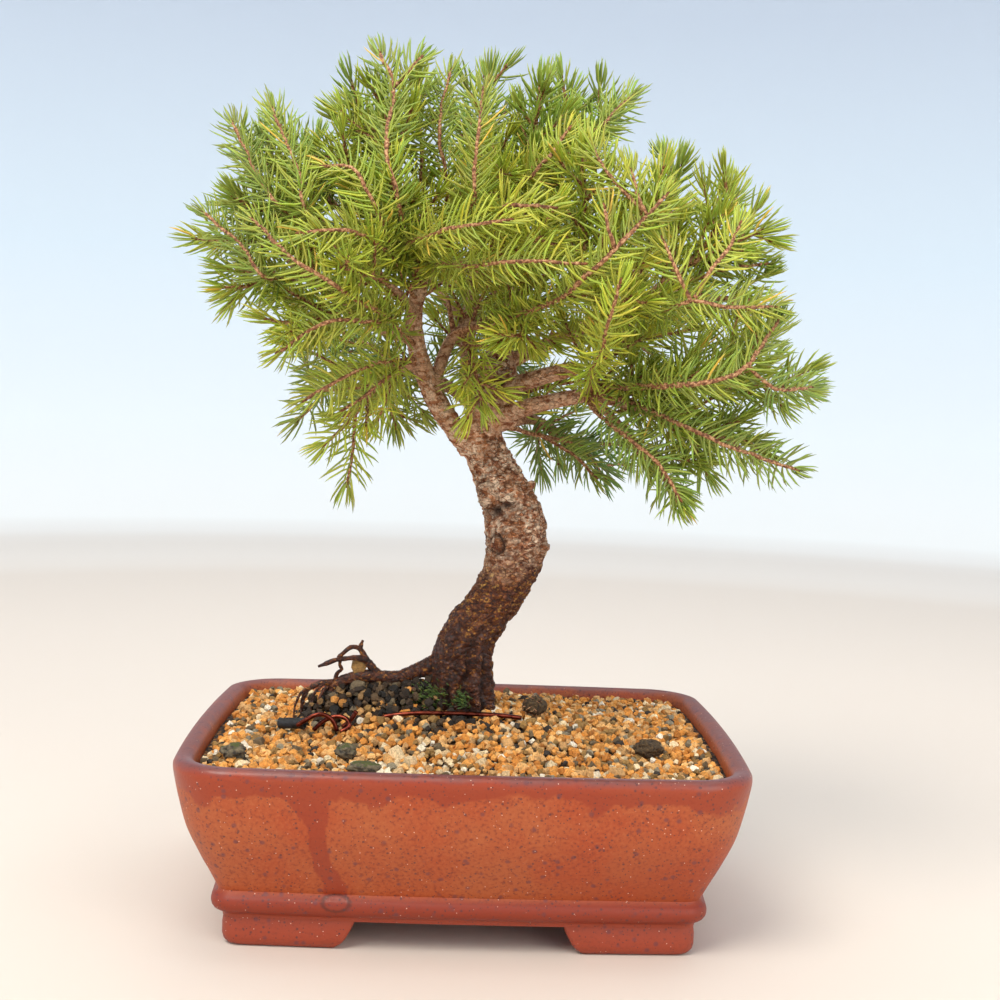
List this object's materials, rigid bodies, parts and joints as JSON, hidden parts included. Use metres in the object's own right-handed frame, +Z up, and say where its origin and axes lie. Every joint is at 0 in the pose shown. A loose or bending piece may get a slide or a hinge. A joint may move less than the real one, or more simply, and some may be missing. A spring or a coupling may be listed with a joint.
{
  "type": "spruce bonsai",
  "caption": "Small spruce grown as a bonsai, with a curved trunk and needled sprays, standing in clay grain soil in a rectangular stoneware pot on corner feet.",
  "frame": {"origin": "middle of the part's outline on the surface that the pot's feet stand on", "axes": "+X to the right along the pot's long side, +Y to the back, +Z up"},
  "size_m": [0.2414, 0.1808, 0.3048],
  "materials": {
    "pot": "unglazed red-brown stoneware with a satin surface and fine specks",
    "soil": "loose fired clay, pumice and lava grains",
    "wood": "flaky spruce bark, darker and mossy at the foot",
    "needles": "fresh green spruce needles with a waxy sheen",
    "wire": "reddish-brown anodised tie wire",
    "rubber": "matt black rubber",
    "screen": "dark moulded plastic mesh",
    "clod": "dark fibrous root clods with crumbs of soil",
    "pebble": "tan clay pebble",
    "stone": "grey lava stones with a film of moss"
  },
  "bodies": {
    "root": {"pot": "pot", "soil": "soil", "tree_wood": "wood", "screen_left": "screen", "screen_right": "screen", "wire_bar": "wire", "wire_twist": "wire", "wire_sleeve": "rubber", "root_clod": "clod", "wedge_pebble": "pebble", "dark_clump": "clod", "moss_stone_left": "stone", "moss_stone_front": "stone", "flat_stone": "stone", "spray_01": "needles", "spray_02": "needles", "spray_03": "needles", "spray_04": "needles", "spray_05": "needles", "spray_06": "needles", "spray_07": "needles", "spray_08": "needles", "spray_09": "needles", "spray_10": "needles", "spray_11": "needles", "spray_12": "needles", "spray_13": "needles", "spray_14": "needles", "spray_15": "needles", "spray_16": "needles", "spray_17": "needles", "spray_18": "needles", "spray_19": "needles", "spray_20": "needles", "spray_21": "needles", "spray_22": "needles", "spray_23": "needles", "spray_24": "needles", "spray_25": "needles", "spray_26": "needles", "spray_27": "needles", "spray_28": "needles", "spray_29": "needles", "spray_30": "needles", "spray_31": "needles", "spray_32": "needles", "spray_33": "needles", "spray_34": "needles", "spray_35": "needles", "spray_36": "needles", "spray_37": "needles", "spray_38": "needles", "spray_39": "needles", "spray_40": "needles", "spray_41": "needles", "spray_42": "needles", "spray_43": "needles", "spray_44": "needles", "spray_45": "needles", "spray_46": "needles"}
  },
  "joints": []
}
